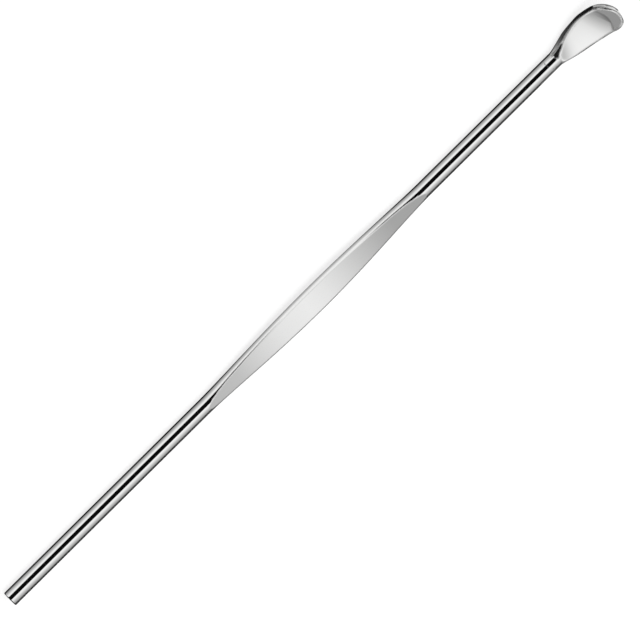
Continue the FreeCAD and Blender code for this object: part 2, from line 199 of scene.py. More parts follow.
select_only()
bpy.ops.mesh.primitive_circle_add(
    vertices=RING_POINTS, radius=WIRE_RADIUS, fill_type="NGON", location=(0, 0, 0), rotation=(0, math.pi / 2, 0))
pick = bpy.context.object
pick.name = "pressed_pick"
bpy.ops.object.transform_apply(location=True, rotation=True, scale=True)
bpy.ops.object.mode_set(mode="EDIT")
bpy.ops.mesh.select_all(action="SELECT")
here = (0.0, WIRE_RADIUS, WIRE_RADIUS, 0.0)
for x in stations:
    section = (WIRE_RADIUS, WIRE_RADIUS, 0.0)
    if GRIP_START < x < GRIP_END:
        section = grip_section(x)
    elif x > FLARE_START:
        section = scoop_section(x)
    wide, high, middle = section
    bpy.ops.mesh.extrude_region_move(
        TRANSFORM_OT_translate={"value": (x - here[0], 0, middle - here[3])})
    bpy.ops.transform.resize(value=(1, wide / here[1], high / here[2]), center_override=(x, 0, middle))
    here = (x, wide, high, middle)
bpy.ops.object.mode_set(mode="OBJECT")
print("the blank has", len(pick.data.polygons), "faces in", len(stations), "steps")

# %% [markdown]
# The butt is cut off square, and its edge is broken so that it doesn't scratch. A Bevel modifier would find
# other edges too, so the ring of edges is picked by its place, at no distance along the wire, and bevelled
# in edit mode.

# %% Round the edge of the butt
BUTT_ROUND = 0.12
BUTT_STEPS = 6
select_only(pick)
select_parts(pick, "EDGE", lambda edge: all(
    abs(pick.data.vertices[corner].co.x) < BUTT_ROUND / 10 for corner in edge.vertices))
bpy.ops.mesh.bevel(offset=BUTT_ROUND, segments=BUTT_STEPS, profile=0.5)
bpy.ops.mesh.select_all(action="SELECT")
bpy.ops.mesh.normals_make_consistent(inside=False)
bpy.ops.object.mode_set(mode="OBJECT")
print("with its butt rounded it has", len(pick.data.polygons), "faces")

# %% [markdown]
# ## The dies
#
# The real pick is squeezed between hard dies, and each die leaves its own face in the metal. Moving the
# blank's own points would blur the edges of those faces, so each die is a solid too, and is cut out of the
# blank. A die's face starts as one edge that lies across the wire. Blender has no such primitive, so a
# plane loses its two corners on one side.

# %% Start with one edge
DIE_WIDTH = 12.0


def lone_edge(name, length, middle, side):
    """One edge through a point, open for editing: a plane that has lost its corners on one side."""
    select_only()
    bpy.ops.mesh.primitive_plane_add(size=length, location=middle)
    edge = bpy.context.object
    edge.name = name
    bpy.ops.object.transform_apply(location=True, rotation=True, scale=True)
    select_parts(edge, "VERT", lambda corner: (corner.co - middle).dot(side) > 0)
    bpy.ops.mesh.delete(type="VERT")
    bpy.ops.mesh.select_all(action="SELECT")
    bpy.ops.transform.translate(value=side * length / 2)
    return edge


def start_die(name, x, z):
    """The first edge of a die's face, across the wire."""
    return lone_edge(name, DIE_WIDTH, Vector((x, 0, z)), ALONG)


# %% [markdown]
# The edge is spun about an axis for every round stretch of the face and extruded for every straight one.
# The strip that it leaves is extruded away from the wire, which closes it to a solid. Two stretches leave
# double points where they meet, so those are merged first, and at the end all faces are turned outwards.

# %% Shape and close a die
DIE_DEPTH = 9.0
MERGE_WITHIN = 0.00001


def sweep(centre_x, centre_z, angle, steps):
    """Spins the selected edge about an axis across the wire. A positive angle turns the far end up."""
    bpy.ops.mesh.spin(steps=steps, angle=angle, center=(centre_x, 0, centre_z), axis=ACROSS)


def run_straight(run):
    """Extrudes the selected edge straight on along the wire."""
    bpy.ops.mesh.extrude_region_move(TRANSFORM_OT_translate={"value": (run, 0, 0)})


def close_die(die, depth):
    """Extrudes the whole strip away from the wire."""
    bpy.ops.mesh.select_all(action="SELECT")
    bpy.ops.mesh.remove_doubles(threshold=MERGE_WITHIN)
    bpy.ops.mesh.extrude_region_move(TRANSFORM_OT_translate={"value": (0, 0, depth)})
    bpy.ops.mesh.select_all(action="SELECT")
    bpy.ops.mesh.normals_make_consistent(inside=False)
    bpy.ops.object.mode_set(mode="OBJECT")
    return die


# %% [markdown]
# ## The finger grip
#
# The flat under the finger is level in the middle and runs out into the round wire in a long pointed oval
# at each end. The oval could be drawn on the wire by hand, but it follows by itself when a die that curls
# up at both ends meets a round bar.

# %% Press the top of the grip
GRIP_RUN_OUT = 27.0
RAMP_STEPS = 48
ramp_angle = math.acos(1 - (WIRE_RADIUS - GRIP_TOP) / GRIP_RUN_OUT)
ramp = GRIP_RUN_OUT * math.sin(ramp_angle)
print("each end of the flat curls up over", round(ramp, 2), "mm")

upper_die = start_die("grip_upper_die", GRIP_START, WIRE_RADIUS)
sweep(GRIP_START + ramp, GRIP_TOP + GRIP_RUN_OUT, ramp_angle, RAMP_STEPS)
run_straight(GRIP_LENGTH - 2 * ramp)
sweep(GRIP_END - ramp, GRIP_TOP + GRIP_RUN_OUT, ramp_angle, RAMP_STEPS)
combine(pick, close_die(upper_die, DIE_DEPTH), "DIFFERENCE")

# %% [markdown]
# From the side, the underside of the grip is one shallow arc, which thins the wire most in the middle. The
# die for it is a single spin: its radius follows from how long the arc is and how far it rises.

# %% Press the underside of the grip
LOWER_STEPS = 120
rise = WIRE_RADIUS - GRIP_UNDERSIDE
lower_radius = (GRIP_LENGTH**2 / 4 + rise**2) / (2 * rise)
lower_angle = 2 * math.asin(GRIP_LENGTH / 2 / lower_radius)
print("the arc under the grip has a radius of", round(lower_radius, 1), "mm")

lower_die = start_die("grip_lower_die", GRIP_START, -WIRE_RADIUS)
sweep(GRIP_START + GRIP_LENGTH / 2, -GRIP_UNDERSIDE - lower_radius, -lower_angle, LOWER_STEPS)
combine(pick, close_die(lower_die, -DIE_DEPTH), "DIFFERENCE")

# %% [markdown]
# ## The scoop
#
# Seen from the side, the die that makes the scoop's hollow comes down from the top of the wire in one arc,
# the throat, and goes up again in a tighter one, the rim. The two meet level at the bend, so no line shows
# between them. The die reaches a little past the tip, so that it cuts right through.

# %% The die for the hollow
RIM_HEIGHT = 0.35
THROAT_RADIUS = 8.0
THROAT_STEPS = 72
RIM_STEPS = 96
die_end_run = LENGTH - BEND_X + SHEET
throat_angle = math.acos((THROAT_RADIUS + RIM_HEIGHT - 2 * WIRE_RADIUS) / THROAT_RADIUS)
rim_centre_z = RIM_HEIGHT + RIM_RADIUS

upper_die = start_die("scoop_upper_die", BEND_X - THROAT_RADIUS * math.sin(throat_angle), 2 * WIRE_RADIUS)
sweep(BEND_X, RIM_HEIGHT + THROAT_RADIUS, throat_angle, THROAT_STEPS)
sweep(BEND_X, rim_centre_z, math.asin(die_end_run / RIM_RADIUS), RIM_STEPS)
close_die(upper_die, DIE_DEPTH)
print("the throat falls away over", round(THROAT_RADIUS * math.sin(throat_angle), 2), "mm")

# %% [markdown]
# Near the tip the hollow has a curved crease, and past it the lip is steeper. A crease that curves and a lip
# of even slope are what a cone leaves, so the die is ended by one: what the die and a cone share is the
# shape that presses. The cone stands on its narrow end, with its axis well behind the crease.

# %% The crease and the lip
CREASE_X = LENGTH - 1.16
LIP_SLOPE = math.radians(46)
LIP_SWEEP = 7.0
CONE_LOW = LIP_SWEEP / 2
CONE_HEIGHT = 12.0
CONE_POINTS = 512
crease_z = rim_centre_z - math.sqrt(RIM_RADIUS**2 - (CREASE_X - BEND_X) ** 2)
cone_high = CONE_LOW + CONE_HEIGHT / math.tan(LIP_SLOPE)
cone_floor = crease_z - (LIP_SWEEP - CONE_LOW) * math.tan(LIP_SLOPE)
select_only()
bpy.ops.mesh.primitive_cone_add(
    vertices=CONE_POINTS, radius1=CONE_LOW, radius2=cone_high, depth=CONE_HEIGHT,
    location=(CREASE_X - LIP_SWEEP, 0, cone_floor + CONE_HEIGHT / 2))
lip_cone = bpy.context.object
bpy.ops.object.transform_apply(location=True, rotation=True, scale=True)
print("the crease is", round(crease_z, 2), "mm above the wire's middle")
combine(upper_die, lip_cone, "INTERSECT")
combine(pick, upper_die, "DIFFERENCE")

# %% [markdown]
# The back of the scoop leaves the underside of the wire in two equal blends and then keeps one sheet's
# thickness below the hollow. A solidified surface would have that thickness everywhere, but it couldn't run
# out into solid wire. So the back is a die too. Its blends are arcs that touch, and their centres are
# worked out from where the second one meets the back.

# %% The back of the scoop
HEEL_RADIUS = 5.5
HEEL_LEAD = 0.6
BLEND_STEPS = 48
back_radius = RIM_RADIUS + SHEET
bend_centre = Vector((BEND_X, 0, rim_centre_z))
lead_angle = math.asin(HEEL_LEAD / back_radius)
lead_way = Vector((math.sin(lead_angle), 0, -math.cos(lead_angle)))
lead_point = bend_centre + lead_way * back_radius
slope = math.acos((math.cos(lead_angle) + 1 - (WIRE_RADIUS + lead_point.z) / HEEL_RADIUS) / 2)
upper_centre = lead_point + lead_way * HEEL_RADIUS
lower_centre = upper_centre + Vector((-math.sin(slope), 0, math.cos(slope))) * 2 * HEEL_RADIUS
print("the back leaves the wire", round(LENGTH - lower_centre.x, 2), "mm behind the tip")

lower_die = start_die("scoop_lower_die", FLARE_START, -WIRE_RADIUS)
run_straight(lower_centre.x - FLARE_START)
sweep(lower_centre.x, lower_centre.z, slope, BLEND_STEPS)
sweep(upper_centre.x, upper_centre.z, lead_angle - slope, BLEND_STEPS)
sweep(bend_centre.x, bend_centre.z, math.asin(die_end_run / back_radius) - lead_angle, RIM_STEPS)
combine(pick, close_die(lower_die, -DIE_DEPTH), "DIFFERENCE")

# %% [markdown]
# Last, the rounded end is cut with a shear whose blade leans back with the sheet, which leaves the narrow
# cut edge round the tip. The blade is a block with the scoop's outline taken out of it: half an ellipse at
# the tip, and straight sides behind. A block is easier to lean over as a whole than an outline that is
# drawn on a slope.


# %% The shear's blade
TIP_LENGTH = 2.0
TIP_TILT = math.radians(14)
TIP_POINTS = 512
tip_point = Vector((LENGTH, 0, rim_centre_z - math.sqrt(back_radius**2 - (LENGTH - BEND_X) ** 2)))
tip_way = Vector((math.cos(TIP_TILT), 0, math.sin(TIP_TILT)))
lean = (0, -TIP_TILT, 0)
behind = TIP_LENGTH + SCOOP_WIDTH / 2


def leaning_box(name, start, end, width, height):
    """A box along the leaning sheet, between two distances from the tip."""
    select_only()
    bpy.ops.mesh.primitive_cube_add(
        size=1, location=tip_point + tip_way * (start + end) / 2, rotation=lean,
        scale=(end - start, width, height))
    box = bpy.context.object
    box.name = name
    bpy.ops.object.transform_apply(location=True, rotation=True, scale=True)
    return box


blade = leaning_box("blade", -behind, SCOOP_WIDTH, 2 * SCOOP_WIDTH, DIE_DEPTH)
select_only()
bpy.ops.mesh.primitive_cylinder_add(
    vertices=TIP_POINTS, radius=1, depth=2 * DIE_DEPTH, location=tip_point - tip_way * TIP_LENGTH,
    rotation=lean, scale=(TIP_LENGTH, SCOOP_WIDTH / 2, 1))
rounded_end = bpy.context.object
bpy.ops.object.transform_apply(location=True, rotation=True, scale=True)
combine(blade, rounded_end, "DIFFERENCE")
combine(blade, leaning_box("sides", -2 * behind, -TIP_LENGTH, SCOOP_WIDTH, 2 * DIE_DEPTH), "DIFFERENCE")

# %% [markdown]
# With the outline cut, the piece is brought to its real size and laid where the measured solid lies. Smooth
# shading is kept off the pressed edges: an edge that turns by more than a few degrees stays crisp.

# %% Cut the outline and finish the piece
CRISP_ANGLE = math.radians(6)
combine(pick, blade, "DIFFERENCE")
select_only(pick)
pick.scale = (MM, MM, MM)
pick.location = (pick_low[0], 0, pick_low[2] + WIRE_RADIUS * MM)
bpy.ops.object.transform_apply(location=True, rotation=True, scale=True)
bpy.ops.object.shade_smooth_by_angle(angle=CRISP_ANGLE)
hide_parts("ear_pick")
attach(pick, "root")
triangles = sum(len(face.vertices) - 2 for face in pick.data.polygons)
print("the finished piece has", triangles, "triangles")

# %% [markdown]
# ## The metal
#
# The materials need many small sums and many values that change from place to place, so there is a helper
# for each. One adds a Math node. The other turns pairs of a place and a level into a ramp, and so lets us
# write down a change of light as a short list.


# %% Helpers for sums and for values that change
def calculate(tree, operation, *values):
    """The result of a Math node. Each value is a number or the output of another node."""
    node = tree.nodes.new("ShaderNodeMath")
    node.operation = operation
    for socket, value in zip(node.inputs, values):
        if isinstance(value, bpy.types.NodeSocket):
            tree.links.new(value, socket)
        else:
            socket.default_value = value
    return node.outputs[0]


def graded(tree, coordinate, levels):
    """A value that changes along a coordinate, from pairs of a place and a level."""
    low, high = levels[0][0], levels[-1][0]
    along = tree.nodes.new("ShaderNodeMapRange")
    along.inputs["From Min"].default_value = low
    along.inputs["From Max"].default_value = high
    between = tree.nodes.new("ShaderNodeValToRGB")
    stops = between.color_ramp.elements
    while len(stops) > 1:
        stops.remove(stops[-1])
    for index, (place, level) in enumerate(levels):
        position = (place - low) / (high - low)
        stop = stops[0] if index == 0 else stops.new(position)
        stop.position = position
        stop.color = (level, level, level, 1)
    tree.links.new(coordinate, along.inputs["Value"])
    tree.links.new(along.outputs["Result"], between.inputs["Fac"])
    return between.outputs["Color"]


def in_metres(levels):
    """The same pairs with their places brought from millimetres to metres."""
    return [(place * MM, level) for place, level in levels]


# %% [markdown]
# Stainless steel that has been drawn and then polished is a clean mirror, a little grey. What gives it away
# as wire are very fine lines along it. A picture of steel could give them, but noise that is stretched
# along the wire never repeats and needs no file. It is made in a node group with named inputs, so that the
# same group could give another steel its own lines, and it puts out a roughness and a height.

# %% A node group for the lines of drawn metal
LINE_STRETCH = (60, 9000, 9000)
LINE_DETAIL = 3
NOISE_MIDDLE = 0.5


def drawn_lines_group():
    """Noise stretched along X, as a roughness and a height."""
    group = bpy.data.node_groups.new("drawn_lines", "ShaderNodeTree")
    sockets = group.interface
    for name, default in (("Lines", 1.0), ("Fineness", 1.0), ("Roughness", 0.05), ("Spread", 0.02)):
        sockets.new_socket(name, in_out="INPUT", socket_type="NodeSocketFloat").default_value = default
    for name in ("Roughness", "Height"):
        sockets.new_socket(name, in_out="OUTPUT", socket_type="NodeSocketFloat")
    given = group.nodes.new("NodeGroupInput")
    put_out = group.nodes.new("NodeGroupOutput")
    place = group.nodes.new("ShaderNodeTexCoord")
    stretch = group.nodes.new("ShaderNodeMapping")
    stretch.inputs["Scale"].default_value = LINE_STRETCH
    noise = group.nodes.new("ShaderNodeTexNoise")
    noise.inputs["Detail"].default_value = LINE_DETAIL
    group.links.new(place.outputs["Object"], stretch.inputs["Vector"])
    group.links.new(stretch.outputs["Vector"], noise.inputs["Vector"])
    group.links.new(given.outputs["Fineness"], noise.inputs["Scale"])
    centred = calculate(group, "SUBTRACT", noise.outputs["Fac"], NOISE_MIDDLE)
    height = calculate(group, "MULTIPLY", centred, given.outputs["Lines"])
    rougher = calculate(group, "MULTIPLY_ADD", centred, given.outputs["Spread"], given.outputs["Roughness"])
    group.links.new(rougher, put_out.inputs["Roughness"])
    group.links.new(height, put_out.inputs["Height"])
    return group


# %% [markdown]
# A real edge is never quite sharp: polishing rounds it, and the round catches a thin line of light. Rounding
# the mesh itself could break it where cuts meet at small angles. The Bevel node rounds only the way in
# which the light falls, and leaves the shape alone. Its radius changes along the pick: full on the rim of
# the scoop, half on the edges of the grip, and none on the plain wire, where it would only blur the round.

# %% Where the edges are rounded
EDGE_ROUND = 0.5 * MM
EDGE_SAMPLES = 8
EDGE_ZONES = (
    (-40, 0.0), (-14.5, 0.0), (-13, 0.5), (14, 0.5), (15.5, 0.0), (32.2, 0.0), (33.2, 1.0), (42, 1.0))


def rounded_edges(tree):
    """The surface's direction with its edges rounded by zones along the pick."""
    place = tree.nodes.new("ShaderNodeTexCoord")
    parts = tree.nodes.new("ShaderNodeSeparateXYZ")
    tree.links.new(place.outputs["Object"], parts.inputs[0])
    rounded = tree.nodes.new("ShaderNodeBevel")
    rounded.samples = EDGE_SAMPLES
    zones = graded(tree, parts.outputs["X"], in_metres(EDGE_ZONES))
    tree.links.new(calculate(tree, "MULTIPLY", zones, EDGE_ROUND), rounded.inputs["Radius"])
    return rounded.outputs["Normal"]


# %% [markdown]
# The steel itself is one Principled shader, fully metallic, with the lines as its roughness and as a bump
# that lies on the rounded edges. A rougher metal would be easier to light, but it would lose the crisp dark
# and light stripes by which polished wire is known.

# %% The polished steel
STEEL = (0.87, 0.87, 0.865, 1)
STEEL_ROUGHNESS = 0.03
ROUGHNESS_SPREAD = 0.03
LINE_STRENGTH = 0.02
LINE_HEIGHT = 0.02 * MM

steel = bpy.data.materials.new("polished_steel")
steel.use_nodes = True
tree = steel.node_tree
shader = tree.nodes["Principled BSDF"]
shader.inputs["Base Color"].default_value = STEEL
shader.inputs["Metallic"].default_value = 1
lines = tree.nodes.new("ShaderNodeGroup")
lines.node_tree = drawn_lines_group()
lines.inputs["Roughness"].default_value = STEEL_ROUGHNESS
lines.inputs["Spread"].default_value = ROUGHNESS_SPREAD
bump = tree.nodes.new("ShaderNodeBump")
bump.inputs["Strength"].default_value = LINE_STRENGTH
bump.inputs["Distance"].default_value = LINE_HEIGHT
tree.links.new(lines.outputs["Roughness"], shader.inputs["Roughness"])
tree.links.new(lines.outputs["Height"], bump.inputs["Height"])
tree.links.new(rounded_edges(tree), bump.inputs["Normal"])
tree.links.new(bump.outputs["Normal"], shader.inputs["Normal"])
pick.data.materials.clear()
pick.data.materials.append(steel)
print("the steel has", len(tree.nodes), "nodes")

# %% [markdown]
# ## The studio
#
# The pick lies on a pale table, and we look down on it from the side. The camera is far away with a long
# lens, so that the two ends look equally thick, and it is rolled so that the scoop points up to the right.
# An orthographic camera would do as well, but a long lens is what is used in a real studio. The distance
# follows from the lens and from how many dots of the picture a millimetre gets.

# %% The camera
IMAGE_WIDTH = 640
PIXELS_PER_MM = 10.5875
LOOK_DOWN = math.radians(50)
HEADING = math.radians(44.72)
LENS = 1200.0
SENSOR = 36.0
CLOSEST = 0.01
MIDDLE_ALONG = -0.24
MIDDLE_OFF = 1.50

towards_camera = Vector((0, math.cos(LOOK_DOWN), math.sin(LOOK_DOWN)))
off_wire = Vector((0, -math.sin(LOOK_DOWN), math.cos(LOOK_DOWN)))
right = math.cos(HEADING) * ALONG + math.sin(HEADING) * off_wire
up = math.sin(HEADING) * ALONG - math.cos(HEADING) * off_wire
distance = IMAGE_WIDTH / PIXELS_PER_MM * MM * LENS / SENSOR
target = (Vector((MIDDLE_ALONG, 0, WIRE_RADIUS)) + MIDDLE_OFF * off_wire) * MM

camera_data = bpy.data.cameras.new("camera")
camera_data.lens = LENS
camera_data.sensor_width = SENSOR
camera_data.clip_start = CLOSEST
camera = bpy.data.objects.new("camera", camera_data)
camera.matrix_world = Matrix.Translation(target + towards_camera * distance) @ Matrix(
    (right, up, towards_camera)).transposed().to_4x4()
bpy.context.collection.objects.link(camera)
bpy.context.scene.camera = camera
print("the camera is", round(distance, 2), "m away")

# %% [markdown]
# Polished metal shows its surroundings, so the surroundings are placed by what they do in the wire. Lamps
# would show in it as bare spots. Every light here is a panel of paper or cloth instead, which glows by its
# own shader, more in one place than in another. The camera doesn't see the panels, but the metal does.


# %% Panels that glow
def light_material(name):
    """A material that only glows, with the parts of its Object coordinates."""
    material = bpy.data.materials.new(name)
    material.use_nodes = True
    tree = material.node_tree
    tree.nodes.clear()
    place = tree.nodes.new("ShaderNodeTexCoord")
    parts = tree.nodes.new("ShaderNodeSeparateXYZ")
    glow = tree.nodes.new("ShaderNodeEmission")
    out = tree.nodes.new("ShaderNodeOutputMaterial")
    tree.links.new(place.outputs["Object"], parts.inputs[0])
    tree.links.new(glow.outputs["Emission"], out.inputs["Surface"])
    return material, parts, glow


def glowing(name, axis, levels, fade_axis="", fade_levels=()):
    """A light that changes along one axis, from pairs of a place in millimetres and a level.

    A second list can fade it along another axis.
    """
    material, parts, glow = light_material(name)
    tree = material.node_tree
    tree.links.new(graded(tree, parts.outputs[axis], in_metres(levels)), glow.inputs["Color"])
    if fade_axis:
        fade = graded(tree, parts.outputs[fade_axis], in_metres(fade_levels))
        tree.links.new(fade, glow.inputs["Strength"])
    return material


def hide_from_camera(light, lights_things):
    """Keeps a panel out of the picture. It casts no shadow, and lights the table only if asked to."""
    light.visible_camera = False
    light.visible_shadow = False
    light.visible_diffuse = lights_things
    light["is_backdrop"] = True
    print(light.name, "is in place")


# %% [markdown]
# A photographer would put the pick in a tent of white cloth, lit from outside, with a black card round the
# lens. The tent is a half pipe along the wire, spun from one edge over the pick. What each strip of it
# gives off is set by the strip's angle from straight overhead, positive on the camera's side. The black
# card is the dark stretch in that list, and it draws the black stripe along the wire.

# %% The light of the tent
BLACK_FROM = 18.5
BLACK_TO = 70.5
TENT_LEVELS = (
    (-90, 0.01), (-74, 0.02), (-67, 0.11), (-60, 0.27), (-50, 0.41), (-39, 0.50), (-23, 0.67), (-8, 0.88),
    (2, 1.0), (BLACK_FROM - 0.5, 1.0), (BLACK_FROM, 0.003), (BLACK_TO, 0.003), (BLACK_TO + 0.5, 0.98),
    (88, 0.98), (90, 0.95))


def tent_light():
    """The tent's glow, by the angle of each strip from straight overhead."""
    material, parts, glow = light_material("tent_light")
    tree = material.node_tree
    angle = calculate(tree, "ARCTAN2", parts.outputs["Y"], parts.outputs["Z"])
    degrees = calculate(tree, "DEGREES", angle)
    tree.links.new(graded(tree, degrees, TENT_LEVELS), glow.inputs["Color"])
    return material


print("the black card covers", BLACK_TO - BLACK_FROM, "degrees of the tent")

# %% [markdown]
# The cloth itself starts as one edge, as a die does, and is spun half a turn about the wire. A cylinder
# would be quicker to add, but half of it would lie under the table.

# %% Pitch the tent
TENT_RADIUS = 500 * MM
TENT_LENGTH = 1600 * MM
TENT_STEPS = 180
tent = lone_edge("tent", TENT_LENGTH, Vector((0, TENT_RADIUS, 0)), ACROSS)
bpy.ops.mesh.spin(steps=TENT_STEPS, angle=-math.pi, center=(0, 0, 0), axis=ALONG)
bpy.ops.object.mode_set(mode="OBJECT")
tent.data.materials.append(tent_light())
hide_from_camera(tent, lights_things=True)
print("the tent is", round(max(vertex.co.z for vertex in tent.data.vertices), 3), "m high")

# %% [markdown]
# The wire lies so low that its sides mirror the table within a finger's width. Strips laid there glow at a set
# level instead of being lit. They paint the table's light and shade as the wire mirrors it, and so draw its edges
# dark. Painting dark edges on the metal would be simpler, but they would stay behind when the light or the view
# changes. Only the metal sees the strips. Where two overlap, the one in the higher layer shows.

# %% A panel, and a strip on the table
STRIP_LIFT = 0.005


def panel(name, middle, size, turn, material):
    """A flat panel with its place and size in millimetres, turned by three angles."""
    select_only()
    bpy.ops.mesh.primitive_plane_add(size=1, location=Vector(middle) * MM, rotation=turn)
    flat = bpy.context.object
    flat.name = name
    flat.scale = (size[0] * MM, size[1] * MM, 1)
    bpy.ops.object.transform_apply(location=True, rotation=True, scale=True)
    flat.data.materials.append(material)
    return flat


def strip(name, x_range, y_range, layer, *light):
    """A strip on the table that glows at set levels and is seen only by the metal: painted light and shade of the
    table.
    """
    (x_low, x_high), (y_low, y_high) = x_range, y_range
    middle = ((x_low + x_high) / 2, (y_low + y_high) / 2, layer * STRIP_LIFT)
    size = (x_high - x_low, y_high - y_low)
    hide_from_camera(
        panel(name + "_strip", middle, size, (0, 0, 0), glowing(name + "_painted_table_light_and_shade", *light)), lights_things=False)


# %% [markdown]
# Two strips run along the wire on the camera's side, one close by and one wide. Their glow is a painted shade:
# black under the wire, where little light reaches, and paler further out. On the far side one dark strip is
# enough. The pale ones stop at the neck, because the scoop needs a floor of its own.

# %% The strips along the wire
LONG_WAY = 600
SCOOP_FLOOR_FROM = 32.5
NEAR_WIDTH = 12
NEAR_LEVELS = (
    (0.0, 0.0), (1.08, 0.005), (1.22, 0.2), (1.48, 0.35), (1.9, 0.45), (3.2, 0.645), (5, 0.76), (10.5, 0.87),
    (NEAR_WIDTH, 0.88))
UP_TO_NECK = ((-50, 1.0), (SCOOP_FLOOR_FROM, 1.0), (32.8, 0.03), (50, 0.03))

# Painted shade of the table beside the wire: black right under it, paler further out.
strip("near", (-LONG_WAY, LONG_WAY), (0, NEAR_WIDTH), 1, "Y", NEAR_LEVELS, "X", UP_TO_NECK)
strip("wide", (-LONG_WAY, LONG_WAY), (NEAR_WIDTH, 400), 1, "Y", ((NEAR_WIDTH, 0.88), (400, 0.98)), "X", UP_TO_NECK)
strip("far", (-LONG_WAY, 30), (-30, 0), 1, "Y", ((-30, 0.02), (0, 0.01)))

# %% [markdown]
# The scoop's surfaces slope every way, so four strips share the floor round it. On the far side one goes from grey
# beside the scoop to pale past the tip. On the camera's side one darkens the back of the scoop, and another,
# beyond the tip, shades its upturned end. The last is a small one right under the tip: a painted shade, darkest
# right below it.

# %% The strips by the scoop
TIP_FLOOR_FROM = 38.9
BEYOND_END = 60
SCOOP_LEVELS = (
    (SCOOP_FLOOR_FROM, 0.8), (32.7, 0.55), (33, 0.4), (33.3, 0.27), (33.6, 0.2), (34.1, 0.12), (35, 0.09),
    (36, 0.05), (38.5, 0.02))
SCOOP_FADE = ((0.9, 0.4), (1.2, 0.6), (1.5, 0.7), (1.9, 0.5), (2.3, 0.33), (3, 0.2), (6, 0.2))
BEYOND_LEVELS = ((0, 0.8), (1.8, 0.75), (2.6, 0.6), (3.3, 0.35), (4.2, 0.14), (5.2, 0.03), (12, 0.02))
BEYOND_FADE = ((TIP_FLOOR_FROM, 0.5), (39.3, 1.0), (BEYOND_END, 1.0))

strip("tip", (30, BEYOND_END), (-400, 0), 1, "X", ((30, 0.3), (38, 0.34), (40.5, 0.9), (BEYOND_END, 0.9)))
strip("scoop", (SCOOP_FLOOR_FROM, TIP_FLOOR_FROM), (0.9, 6), 2, "X", SCOOP_LEVELS, "Y", SCOOP_FADE)
strip("beyond", (TIP_FLOOR_FROM, BEYOND_END), (0, 12), 2, "Y", BEYOND_LEVELS, "X", BEYOND_FADE)
# Painted shade under the tip: darkest below it, paler past it.
strip("tip_foot", (39.1, 42.6), (-1.9, 1.9), 3, "X", ((39.1, 0.12), (42, 0.2), (42.6, 0.5)))

# %% [markdown]
# A flat face mirrors one small patch of the tent, the same along its whole length, and would look painted.
# Small cards close over the grip and the scoop give those faces a light that changes along them. A card
# faces the pick and is centred on a direction from it, given as the tent's are: from straight overhead,
# positive on the camera's side. A level face shows this camera what lies as far from overhead on the other
# side, so that is where most of the cards go.


# %% A card close over the pick
def close_card(name, x_range, towards, face_height, away, height, *light):
    """A card near the pick, centred on a direction from a face and so near that it hides the tent."""
    x_low, x_high = x_range
    way = Vector((0, math.sin(towards), math.cos(towards)))
    middle = Vector(((x_low + x_high) / 2, 0, face_height)) + way * away
    hide_from_camera(
        panel(name, middle, (x_high - x_low, height), (-towards, 0, 0), glowing(name + "_light", *light)),
        lights_things=False)


# %% [markdown]
# The first card lies where the grip's flat mirrors it. It is brightest near the middle of the grip and
# greyer to both ends. The second stands in front of the tent's black card and is bright in the middle, so
# the black stripe along the wire ends at the grip and starts again behind it.

# %% The cards over the grip
FLAT_SHOWS = LOOK_DOWN - math.pi / 2
SIDE_SHOWS = math.radians(45)
GRIP_FACE = 1.3
GRIP_AWAY = 12
GRIP_LEVELS = (
    (-11.3, 0.54), (-10.3, 0.58), (-8.4, 0.68), (-6.2, 0.79), (-3.9, 0.89), (-0.5, 0.955), (1.8, 0.89),
    (4, 0.78), (6.3, 0.64), (8.6, 0.518), (10.8, 0.432), (12.3, 0.42))
SIDE_LEVELS = (
    (-12.5, 0.01), (-10, 0.08), (-7, 0.35), (-3.5, 0.95), (8.5, 0.95), (11.5, 0.1), (13.5, 0.004))

close_card("grip_card", (-11.3, 12.3), FLAT_SHOWS, GRIP_FACE, GRIP_AWAY, 3.8, "X", GRIP_LEVELS)
close_card("grip_side_card", (-12.5, 13.5), SIDE_SHOWS, GRIP_FACE, GRIP_AWAY, 12.4, "X", SIDE_LEVELS)

# %% [markdown]
# Over the scoop one card lights the hollow: bright in the middle, and greyer towards the throat and towards
# the crease. A lower one gives the rim an even grey.

# %% The cards over the scoop
RIM_SHOWS = math.radians(-69)
SCOOP_FACE = 1.2
SCOOP_AWAY = 8
HOLLOW_LEVELS = (
    (32.6, 0.44), (33, 0.52), (33.7, 0.72), (34.4, 0.94), (35, 1.02), (35.6, 1.05), (36.1, 1.05),
    (36.4, 0.98), (36.7, 0.82), (37, 0.66), (37.4, 0.58), (38.6, 0.55))
HOLLOW_FADE = ((-7.2, 1.0), (-5.5, 0.94), (-3.8, 0.84))


def even(level):
    """The same level everywhere."""
    return (0, level), (1, level)


close_card(
    "scoop_card", (32.6, 38.6), FLAT_SHOWS, SCOOP_FACE, SCOOP_AWAY, 5, "X", HOLLOW_LEVELS, "Y", HOLLOW_FADE)
close_card("rim_card", (33.6, 38.8), RIM_SHOWS, SCOOP_FACE, SCOOP_AWAY, 3.3, "X", even(0.6))

# %% [markdown]
# The sloping parts of the scoop and the butt mirror what stands along the wire, before and behind them. They
# are served by cards that stand square to the wire. The round wire itself hardly shows such a card, because
# what it mirrors to this camera lies straight across it. The camera looks at the middle of the pick, though,
# so near the ends it sees that card's face by a hair. The card is turned by just as much, about an upright
# and a level axis, so that the wire shows it edge on.


